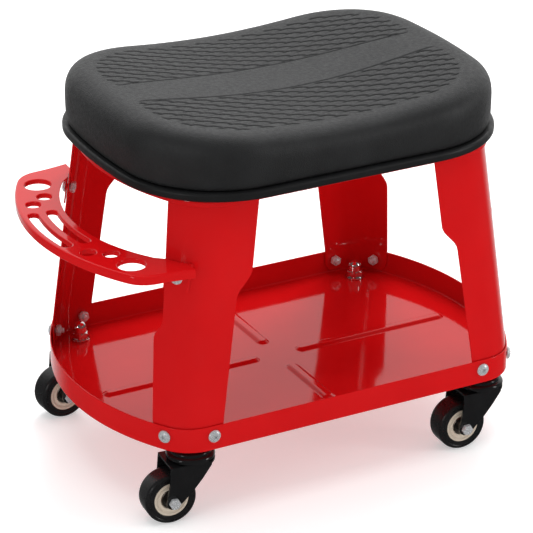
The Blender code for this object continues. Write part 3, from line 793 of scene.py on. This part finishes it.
def cushion_top(x, y):
    """Height of the cushion's top above its bottom, and how deep its grooves are, from 0 to 1; the
    second value also sets how much shade is painted into the grooves.
    """
    inside = outline_depth(x, y) - PANEL_INSET
    band = BAND_MIDDLE + (BAND_END - BAND_MIDDLE) * (x / BAND_LENGTH) ** 2
    beyond = np.abs(y) - band
    panel = np.minimum(inside, beyond)
    rounded = PANEL_CORNER - np.hypot(np.clip(PANEL_CORNER - inside, 0, None),
                                      np.clip(PANEL_CORNER - beyond, 0, None))
    panel = np.where((inside < PANEL_CORNER) & (beyond < PANEL_CORNER), rounded, panel)
    scales = scale_groove(x, y) * smooth_step(panel, 0.0005, 0.0020)
    border = 1 - smooth_step(np.abs(panel), 0.0, GROOVE_HALF)
    border = 0.7 * border * smooth_step(inside, 0.0020, 0.0090)
    crown = 0.0004 * smooth_step(outline_depth(x, y), 0.028, 0.060)
    groove = np.maximum(scales, border)
    height = CUSHION_PROFILE[-1][0] + crown - GROOVE_DEPTH * groove
    return height * dish_share(x), groove


def build_cushion():
    bm = bmesh.new()
    depth = bm.verts.layers.float.new("groove")
    rings = []
    for z, amount in spline(CUSHION_PROFILE, 3):
        ring = seat_outline(amount)
        rings.append([(x, y, cushion_low.z + z * dish_share(x)) for x, y in ring])
    loops = skin(bm, rings)
    bm.faces.new(loops[0])
    half_x = SEAT_OUTLINE[1] - CUSHION_PROFILE[-1][1]
    half_y = SEAT_OUTLINE[0] - CUSHION_PROFILE[-1][1]
    count_x = int(half_x / GRID_X)
    count_y = int(half_y / GRID_Y)
    grid_x, grid_y = np.meshgrid(np.arange(-count_x, count_x + 1) * GRID_X,
                                 np.arange(-count_y, count_y + 1) * GRID_Y, indexing="ij")
    kept = outline_depth(grid_x, grid_y) > CUSHION_PROFILE[-1][1] + 0.7 * GRID_X
    cells = kept[:-1, :-1] & kept[1:, :-1] & kept[:-1, 1:] & kept[1:, 1:]
    used = np.zeros(kept.shape, bool)
    for step_x in (0, 1):
        for step_y in (0, 1):
            used[step_x:used.shape[0] - 1 + step_x, step_y:used.shape[1] - 1 + step_y] |= cells
    heights, grooves = cushion_top(grid_x, grid_y)
    verts = {}
    for i, j in np.argwhere(used):
        place = (grid_x[i, j], grid_y[i, j], cushion_low.z + heights[i, j])
        verts[i, j] = bm.verts.new(place)
        # The groove layer carries the painted shade of the grooves to the foam skin's colour.
        verts[i, j][depth] = grooves[i, j]
    for i, j in np.argwhere(cells):
        bm.faces.new((verts[i, j], verts[i + 1, j], verts[i + 1, j + 1], verts[i, j + 1]))
    edges = []
    for i, j in np.argwhere(cells):
        sides = (((i, j), (i + 1, j), (i, j - 1)), ((i, j + 1), (i + 1, j + 1), (i, j + 1)),
                 ((i, j), (i, j + 1), (i - 1, j)), ((i + 1, j), (i + 1, j + 1), (i + 1, j)))
        for first, second, beside in sides:
            if not cells[beside]:
                edges.append((first, second))
    names = sorted({name for edge in edges for name in edge})
    order = {name: number for number, name in enumerate(names)}
    rim = [(order[first], order[second]) for first, second in edges]
    rim += loop_edges(len(names), len(loops[-1]))

    def on_grid(x, y):
        cell = (int(math.floor(x / GRID_X)) + count_x, int(math.floor(y / GRID_Y)) + count_y)
        return 0 <= cell[0] < cells.shape[0] and 0 <= cell[1] < cells.shape[1] and cells[cell]

    fill_between(bm, [verts[name] for name in names] + loops[-1], rim, on_grid)
    cushion = add_piece("cushion_skin", bm, "black_foam_skin", ["cushion"], sharp=60)


# ---------------- tool rack
def rack_arc(radius, centre, start, end, steps):
    """Arc about (centre, 0), with angles measured from -X towards +Y in degrees."""
    return arc((centre, 0.0), -radius, radius, math.radians(start), math.radians(end), steps)


def rack_edge(amount):
    """Rack's outer edge, inset by an amount, from the +Y tip round to the -Y tip."""
    side_y = RACK_HALF_WIDTH - amount
    radius = RACK_OUTER - amount
    corner = RACK_CORNER - amount
    centre_y = side_y - corner
    reach = math.sqrt((radius - corner) ** 2 - centre_y ** 2)
    centre_x = RACK_CENTRE - reach
    meet = math.atan2(centre_y, reach)
    half = [(RACK_TIP_X + (centre_x - RACK_TIP_X) * i / 3, side_y + RACK_FLARE * (1 - i / 3) ** 1.5)
            for i in range(3)]
    half += arc((centre_x, centre_y), -corner, corner, math.pi / 2, meet, 12)
    middle = rack_arc(radius, RACK_CENTRE, math.degrees(meet), -math.degrees(meet), 40)[1:-1]
    return half + middle + [(x, -y) for x, y in reversed(half)]


def rack_inner_edge():
    """Rack's inner edge from the -Y tip to the +Y tip: along the legs, then a hollow arc."""
    along_leg = []
    for i in range(6):
        y = RACK_TAB[0] + (0.1295 - RACK_TAB[0]) * (5 - i) / 5
        point = leg_point(y, RACK_TOP - SHEET, LEG_CLEARANCE)
        along_leg.append((-point.x, -y))
    limit = math.degrees(math.asin(0.104 / RACK_INNER))
    hollow = rack_arc(RACK_INNER, RACK_INNER_CENTRE, -limit, limit, 36)
    return along_leg + hollow + [(x, -y) for x, y in reversed(along_leg)]


def rack_slot(radius, half_angle, width):
    """Curved slot of one width with round ends."""
    outer = rack_arc(radius + width / 2, RACK_CENTRE, -half_angle, half_angle, 20)
    inner = rack_arc(radius - width / 2, RACK_CENTRE, half_angle, -half_angle, 20)
    ends = []
    for sign in (1, -1):
        angle = math.radians(half_angle * sign)
        centre = Vector((RACK_CENTRE - radius * math.cos(angle), radius * math.sin(angle)))
        along = Vector((math.sin(angle), math.cos(angle))) * sign
        out = Vector((-math.cos(angle), math.sin(angle))) * sign
        turns = [math.pi * i / 10 for i in range(1, 10)]
        ends.append([tuple(centre + (out * math.cos(t) + along * math.sin(t)) * width / 2)
                     for t in turns])
    return outer + ends[0] + inner + ends[1]


COLLAR_DEPTH = 0.0048
COLLAR_ROUND = 0.0014
COLLAR_WALL = 0.0012
RACK_BEND = 0.0026


def add_collar(bm, outline):
    """Turned-down collar of a hole. Gives back its lower and its upper loop."""
    bottom = RACK_TOP - COLLAR_DEPTH
    rows = quarter(COLLAR_ROUND, 0.0, RACK_TOP, -1, 5)
    rows += [(0.0, bottom), (COLLAR_WALL, bottom), (COLLAR_WALL, RACK_TOP - SHEET)]
    loops = skin(bm, [at_height(outline(amount), z) for amount, z in rows])
    return loops[-1], loops[0]


def build_rack():
    bm = bmesh.new()
    top, low = RACK_TOP, RACK_TOP - SHEET
    edge = SHEET / 2
    rows = quarter(RACK_BEND, 0.0, top, -1, 6)
    rows += half_round(edge, top - RACK_LIP + edge, -1, 6)
    rows += quarter(RACK_BEND - SHEET, SHEET, low, -1, 4, rising=False)
    loops = skin(bm, [at_height(rack_edge(amount), z) for amount, z in rows], closed=False)
    inner = rack_inner_edge()
    inner_loops = skin(bm, [at_height(inner, top), at_height(inner, low)], closed=False)
    for end, start in ((0, -1), (-1, 0)):
        bm.faces.new([loop[end] for loop in loops])
        bm.faces.new((loops[0][end], inner_loops[0][start], inner_loops[1][start], loops[-1][end]))
    outlines = [lambda amount, slot=slot: rack_slot(slot[0], slot[1], slot[2] + 2 * amount)
                for slot in RACK_SLOTS]
    for sign in (1, -1):
        for radius, angle, width in RACK_HOLES:
            turn = math.radians(angle * sign)
            centre = (RACK_CENTRE - radius * math.cos(turn), radius * math.sin(turn))
            outlines.append(lambda amount, width=width, centre=centre:
                            circle(width / 2 + amount, 40, centre))
    walls = [add_collar(bm, outline) for outline in outlines]
    fill_plate(bm, loops[0] + inner_loops[0], loops[-1] + inner_loops[1], walls)
    flatten(add_piece("rack_plate", bm, "red_powder_coat", ["tool_rack"], sharp=40))
    build_rack_tabs()


def build_rack_tabs():
    """Two tabs, bent down from the plate, that lie on the legs' end faces."""
    tab_top = RACK_TOP - 0.0002
    section = ((rack_low.z, 0), (rack_low.z, SHEET), (tab_top, SHEET), (tab_top, 0))
    for name, sign in (("front", -1), ("back", 1)):
        rings = []
        for i in range(9):
            y = RACK_TAB[0] + (RACK_TAB[1] - RACK_TAB[0]) * i / 8
            rings.append([(-leg_point(y, z, LEG_CLEARANCE + offset).x, sign * y, z)
                          for z, offset in section])
        tab = cut(loft(rings), [drill(SCREW_HOLE, rack_screw_frame((-1, sign)))])
        add_piece("rack_tab_" + name, tab, "red_powder_coat", sharp=35, bevel=0.0003)


# ---------------- screws and nuts
def hex_ring(across_flats, chamfer, z, steps=48):
    """Hexagon whose corners are cut back to a radius, as on a chamfered nut."""
    ring = []
    for x, y in circle(1.0, steps):
        angle = math.atan2(y, x) % (math.pi / 3) - math.pi / 6
        radius = min(across_flats / 2 / math.cos(angle), chamfer)
        ring.append((x * radius, y * radius, z))
    return ring


def hex_prism(low, high, bore=0.0, chamfer=0.0006):
    """Chamfered hexagon head or nut, with a bore through it if asked."""
    corner = NUT_FLATS / math.sqrt(3)
    face = NUT_FLATS / 2 * 0.97
    rings = [hex_ring(NUT_FLATS, radius, z) for radius, z in (
        (face, low), (corner, low + chamfer), (corner, high - chamfer), (face, high))]
    if bore:
        rings += circles([(bore, high), (bore, low)], 48)
    return loft(rings, wrap=bool(bore))


def thread(radius, low, high, pitch=0.0008, depth=0.0004):
    """Rings that give a shank its thread, from its tip up."""
    profile = [(radius - depth, low)]
    count = int((high - low) / pitch)
    for i in range(count):
        z = low + pitch * i
        profile += [(radius - depth, z + 0.25 * pitch), (radius, z + 0.6 * pitch)]
    profile.append((radius, high))
    return profile


SHANK = 0.0027
OVERLAP = 0.0010               # how far a bolt's shank runs into its head
# One bar of a cross recess: half length, half width and height, from its bottom up
RECESS = ((0.0012, 0.00035, 0.0012), (0.0029, 0.00060, 0.0040))


def screw_mesh(length):
    """Pan-head screw along Z with a cross recess and a threaded end."""
    head = [(SHANK, 0.0), (0.0061, 0.0), (0.0064, 0.0004)]
    head += arc_profile(0.0064, 0.0031, (0.0, 0.0006), 10, 80, 7)
    recess = []
    for turn in (0, math.pi / 2):
        bm = loft([[(-x, -y, z), (x, -y, z), (x, y, z), (-x, y, z)] for x, y, z in RECESS])
        bm.transform(Matrix.Rotation(turn, 4, "Z"))
        recess.append(bm)
    return cut(turned(thread(SHANK, -length, 0.0) + head, 32), recess)


def add_hex(name, stands_for, matrix, low, high, bore=0.0, body="frame"):
    add_piece(name, hex_prism(low, high, bore), "zinc_screw", stands_for, matrix, body)


def build_screws():
    shift = Matrix.Translation((MIDDLE_X, 0, 0))
    screw = screw_mesh(0.0127)
    nut_top = -(TRAY_WALL + LEG_CLEARANCE + SHEET + NUT_GAP)
    turn = 0
    for key, signs in CORNERS.items():
        for side, matrix in zip(("side_", "end_"), corner_screw_frames(signs)):
            turn += 1
            spun = shift @ matrix @ Matrix.Rotation(0.7 * turn, 4, "Z")
            add_piece("tray_screw_shape_" + side + key, screw.copy(), "zinc_screw",
                      ["tray_screw_" + side + key], spun @ Matrix.Translation((0, 0, GAP)))
            add_hex("tray_nut_shape_" + side + key, (), spun, nut_top - NUT_HEIGHT, nut_top,
                    NUT_BORE)
    screw = screw_mesh(0.0103)
    seat = Matrix.Translation((0, 0, LEG_CLEARANCE + SHEET + GAP))
    nut_top = -(SHEET + NUT_GAP)
    for key in ("fl", "bl"):
        matrix = shift @ rack_screw_frame(CORNERS[key])
        add_piece("rack_screw_shape_" + key, screw.copy(), "zinc_screw", ["rack_screw_" + key],
                  matrix @ seat)
        add_hex("rack_nut_shape_" + key, ["rack_nut_" + key], matrix, nut_top - NUT_HEIGHT,
                nut_top, NUT_BORE)
    for key, (sign_x, sign_y) in CORNERS.items():
        low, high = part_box("seat_bolt_" + key)
        head_top = low.z + 0.0040
        place = shift @ Matrix.Translation((SEAT_BOLT[0] * sign_x, SEAT_BOLT[1] * sign_y, 0))
        add_hex("seat_bolt_head_" + key, ["seat_bolt_" + key], place, low.z, head_top)
        shank = turned([(SHANK, head_top - OVERLAP), (SHANK, high.z)], 20)
        add_piece("seat_bolt_shank_" + key, shank, "zinc_screw", (), place)


# A stem's acorn nut, as (radius, height) points: its washer, its hexagon and its dome
ACORN_FLATS = 0.0160
ACORN_WASHER = ((0.0052, 0.0), (0.0099, 0.0), (0.0101, 0.0003), (0.0101, 0.0012), (0.0098, 0.0015))
ACORN_HEXAGON = ((0.0078, 0.0016), (ACORN_FLATS / math.sqrt(3), 0.0024),
                 (ACORN_FLATS / math.sqrt(3), 0.0078), (0.0078, 0.0086))
ACORN_NECK = ((0.0071, 0.0088), (0.0070, 0.0120))


def acorn_body(low):
    """Domed nut on its washer."""
    def raised(points):
        return [(radius, low + z) for radius, z in points]
    rings = circles(raised(ACORN_WASHER), 48)
    rings += [hex_ring(ACORN_FLATS, radius, z) for radius, z in raised(ACORN_HEXAGON)]
    dome = arc_profile(0.0070, 0.0070, (0.0, 0.0130), 0, 78.75, 7)
    return loft(rings + circles(raised([*ACORN_NECK, *dome]), 48))


# ---------------- casters
FORK_PLATE = (0.0614, 0.0634)
FORK_FRONT = 0.0265
FORK_BACK = 0.0150
FORK_INNER = 0.0165
FORK_OUTER = 0.0185
TRAIL = 0.0243
AXLE_Z = 0.0260
AXLE_RADIUS = 0.0029
AXLE = Matrix.Translation((TRAIL, 0, AXLE_Z)) @ Matrix.Rotation(math.pi / 2, 4, "X")


def arc_profile(radius_x, radius_z, centre, start, end, steps):
    """Arc of a profile, as (radius, height) points between two angles in degrees."""
    return arc(centre, radius_x, radius_z, math.radians(start), math.radians(end), steps)


def stem_body():
    """Stem with its shoulder, the two-tier round cap and the rivet that holds the fork."""
    shoulder = tray_low.z - GAP
    cap_low = FORK_PLATE[1] + 0.0004
    profile = [(0.0070, 0.0579), (0.0086, 0.0585), (0.0088, FORK_PLATE[0] - 0.0004),
               (0.0060, FORK_PLATE[0] - 0.0004), (0.0060, cap_low), (0.0210, cap_low)]
    profile += arc_profile(0.0040, 0.0033, (0.0200, 0.0671), -85, 80, 12)
    profile += [(0.0204, 0.0706), (0.0202, 0.0712)]
    profile += arc_profile(0.0024, 0.0022, (0.0180, 0.0718), 10, 90, 6)
    profile += [(0.0120, 0.0742), (0.0102, 0.0745), (0.0100, shoulder), (0.0049, shoulder)]
    profile += thread(0.0049, shoulder + 0.0005, 0.0960, 0.0012, 0.0005)
    return turned(profile)


def fork_arm_outline():
    """Side view of a fork arm, along (trail, height): upright in front, sloping behind."""
    tip = 0.0074
    points = [(-FORK_BACK, FORK_PLATE[0] + 0.001), (-FORK_BACK, 0.0598), (-0.0056, 0.0467),
              (0.0042, 0.0350)]
    points += arc_profile(tip, tip, (TRAIL, AXLE_Z), 222, 365, 12)
    points += [(0.0280, 0.0450), (FORK_FRONT, FORK_PLATE[0] + 0.001)]
    return points


def fork_mesh():
    radius = math.hypot(FORK_BACK, FORK_OUTER)
    start = math.atan2(FORK_OUTER, -FORK_BACK)
    plate = [(FORK_FRONT, -FORK_OUTER), (FORK_FRONT, FORK_OUTER)]
    plate += arc((0.0, 0.0), radius, radius, start, 2 * math.pi - start, 20)
    outline = fork_arm_outline()
    arms = [loft([[(t, side * across, z) for t, z in outline]
                  for across in (FORK_INNER, FORK_OUTER)]) for side in (-1, 1)]
    holes = [drill(0.0067, Matrix.Identity(4), 0.055, 0.066), drill(0.0034, AXLE, -0.03, 0.03)]
    body = loft([at_height(plate, FORK_PLATE[0]), at_height(plate, FORK_PLATE[1])])
    return cut(body, holes, arms)


def both_sides(profile):
    """A wheel part's whole profile, from the half of it on one side of the wheel's middle."""
    return [(radius, -z) for radius, z in profile] + profile[::-1]


def wheel_profiles():
    tread = [(0.0177, 0.0114), (0.0182, 0.0119), (0.0212, 0.0121), (0.0217, 0.0117),
             (0.0223, 0.0121)]
    tread += arc_profile(0.0034, 0.0042, (0.0226, 0.0079), 90, 0, 10)
    hub = [(0.0101, 0.0098), (0.0106, 0.0104), (0.0114, 0.0106), (0.0120, 0.0100),
           (0.0137, 0.0098), (0.0147, 0.0104), (0.0153, 0.0112), (0.0165, 0.0115),
           (0.0174, 0.0111)]
    bearing = [(0.0034, 0.0158), (0.0050, 0.0158), (0.0054, 0.0152), (0.0056, 0.0104),
               (0.0062, 0.0092), (0.0080, 0.0092), (0.0084, 0.0102), (0.0094, 0.0104),
               (0.0098, 0.0098)]
    return {"tread": (both_sides(tread), "black_tread"), "hub": (both_sides(hub), "cream_hub"),
            "bearing": (both_sides(bearing), "bearing_steel")}


def build_casters():
    fork = fork_mesh()
    shapes = wheel_profiles()
    head = FORK_OUTER + GAP
    shank = thread(AXLE_RADIUS, -head - 0.0065, -head + OVERLAP)
    shank.append((AXLE_RADIUS, head + OVERLAP))
    for key in CORNERS:
        x, y, _ = JOINTS["caster_swivel_" + key]["pos_m"]
        wheel_x, wheel_y, _ = JOINTS["wheel_spin_" + key]["pos_m"]
        stand = Matrix.Translation((x, y, 0))
        add_piece("caster_stem_shape_" + key, stem_body(), "black_caster_steel",
                  ["caster_stem_" + key], stand)
        add_piece("acorn_nut_shape_" + key, acorn_body(TRAY_FLOOR + GAP), "chrome_nut",
                  ["acorn_nut_" + key], stand)
        turn = math.atan2(wheel_y - y, wheel_x - x)
        swivel = stand @ Matrix.Rotation(turn, 4, "Z")
        body = "swivel_" + key
        add_piece("fork_shape_" + key, fork.copy(), "black_caster_steel", ["fork_" + key], swivel,
                  body, bevel=0.0005)
        axle = swivel @ AXLE
        line = axle if math.cos(turn) > 0 else axle @ Matrix.Rotation(math.pi, 4, "X")
        add_hex("axle_head_" + key, ["axle_bolt_" + key], line, head, head + 0.0045, body=body)
        add_piece("axle_shank_" + key, turned(shank, 24), "zinc_screw", (), line, body)
        add_hex("axle_nut_shape_" + key, ["axle_nut_" + key], line, -head - NUT_HEIGHT, -head,
                0.0030, body)
        for name, (profile, finish) in shapes.items():
            add_piece(name + "_shape_" + key, turned(profile, wrap=True), finish,
                      [name + "_" + key], axle, "wheel_" + key)


# ---------------- scene
CAMERA_PLACE = (MIDDLE_X - 1.1906, -2.2152, 1.3213)
CAMERA_DIRECTION = (0.4273, 0.8036, -0.4142)
FLOOR_REACH = 30.0


def aim(obj, location, direction):
    obj.location = location
    obj.rotation_euler = Vector(direction).to_track_quat("-Z", "Y").to_euler()


def add_camera():
    camera = bpy.data.cameras.new("camera")
    camera.lens = 185.6
    camera.sensor_width = 36.0
    camera.clip_start = 0.1
    camera.clip_end = 50.0
    obj = add_object("camera", camera)
    aim(obj, CAMERA_PLACE, CAMERA_DIRECTION)
    bpy.context.scene.camera = obj


def add_floor():
    bm = bmesh.new()
    bm.faces.new(add_loop(bm, [(x * FLOOR_REACH, y * FLOOR_REACH, 0)
                               for x, y in ((-1, -1), (1, -1), (1, 1), (-1, 1))]))
    mesh = bpy.data.meshes.new("floor")
    bm.to_mesh(mesh)
    bm.free()
    floor = add_object("floor", mesh)
    made = Nodes("floor_look", 0.6, IOR=1.3, Emission_Color=(1.0, 1.0, 1.0, 1.0),
                 Emission_Strength=0.42)
    made.colour(made.noise(0.6), (0.75, 0.75, 0.75), (0.77, 0.77, 0.77))
    mesh.materials.append(made.material)
    floor.visible_glossy = False


def add_area(name, location, target, size, power, glossy=False):
    light = bpy.data.lights.new(name, "AREA")
    light.shape = "RECTANGLE"
    light.size, light.size_y = size
    light.energy = power
    obj = add_object(name, light)
    aim(obj, location, Vector(target) - Vector(location))
    obj.visible_glossy = glossy


def add_world():
    """White studio, whose reflection is bright behind the object and dim on the camera's side."""
    world = bpy.data.worlds.new("studio")
    world.use_nodes = True
    bpy.context.scene.world = world
    tree = world.node_tree
    background = tree.nodes["Background"]
    way = tree.nodes.new("ShaderNodeTexCoord")
    facing = tree.nodes.new("ShaderNodeVectorMath")
    facing.operation = "DOT_PRODUCT"
    facing.inputs[1].default_value = (0.48, 0.83, 0.28)
    tree.links.new(way.outputs["Generated"], facing.inputs[0])
    shade = tree.nodes.new("ShaderNodeMapRange")
    shade.interpolation_type = "SMOOTHSTEP"
    set_range(shade, 0.40, 0.85, 0.08, 1.0)
    tree.links.new(facing.outputs["Value"], shade.inputs["Value"])
    rays = tree.nodes.new("ShaderNodeLightPath")
    choice = tree.nodes.new("ShaderNodeMix")
    choice.inputs["A"].default_value = 0.60
    tree.links.new(rays.outputs["Is Glossy Ray"], choice.inputs["Factor"])
    tree.links.new(shade.outputs["Result"], choice.inputs["B"])
    tree.links.new(choice.outputs["Result"], background.inputs["Strength"])
    background.inputs["Color"].default_value = (1.0, 1.0, 1.0, 1.0)


def light_scene():
    scene = bpy.context.scene
    scene.view_settings.view_transform = "Standard"
    add_world()
    add_area("key", (1.2, 1.6, 2.2), (0.0, 0.0, 0.2), (1.6, 1.6), 48.0)
    add_area("top", (0.0, 0.0, 2.6), (0.0, 0.0, 0.0), (2.4, 2.4), 40.0)
    add_area("left_panel", (-2.4, -0.9, 1.0), (-0.2, -0.1, 0.1), (0.5, 0.5), 5.0, glossy=True)
    add_area("streak", (1.9, -1.5, 0.9), (0.1, 0.0, 0.2), (0.35, 1.4), 9.0, glossy=True)


for step in (add_camera, add_floor, light_scene, build_cushion, build_board, build_pan,
             build_tray, build_legs, build_rack, build_screws, build_casters):
    step()
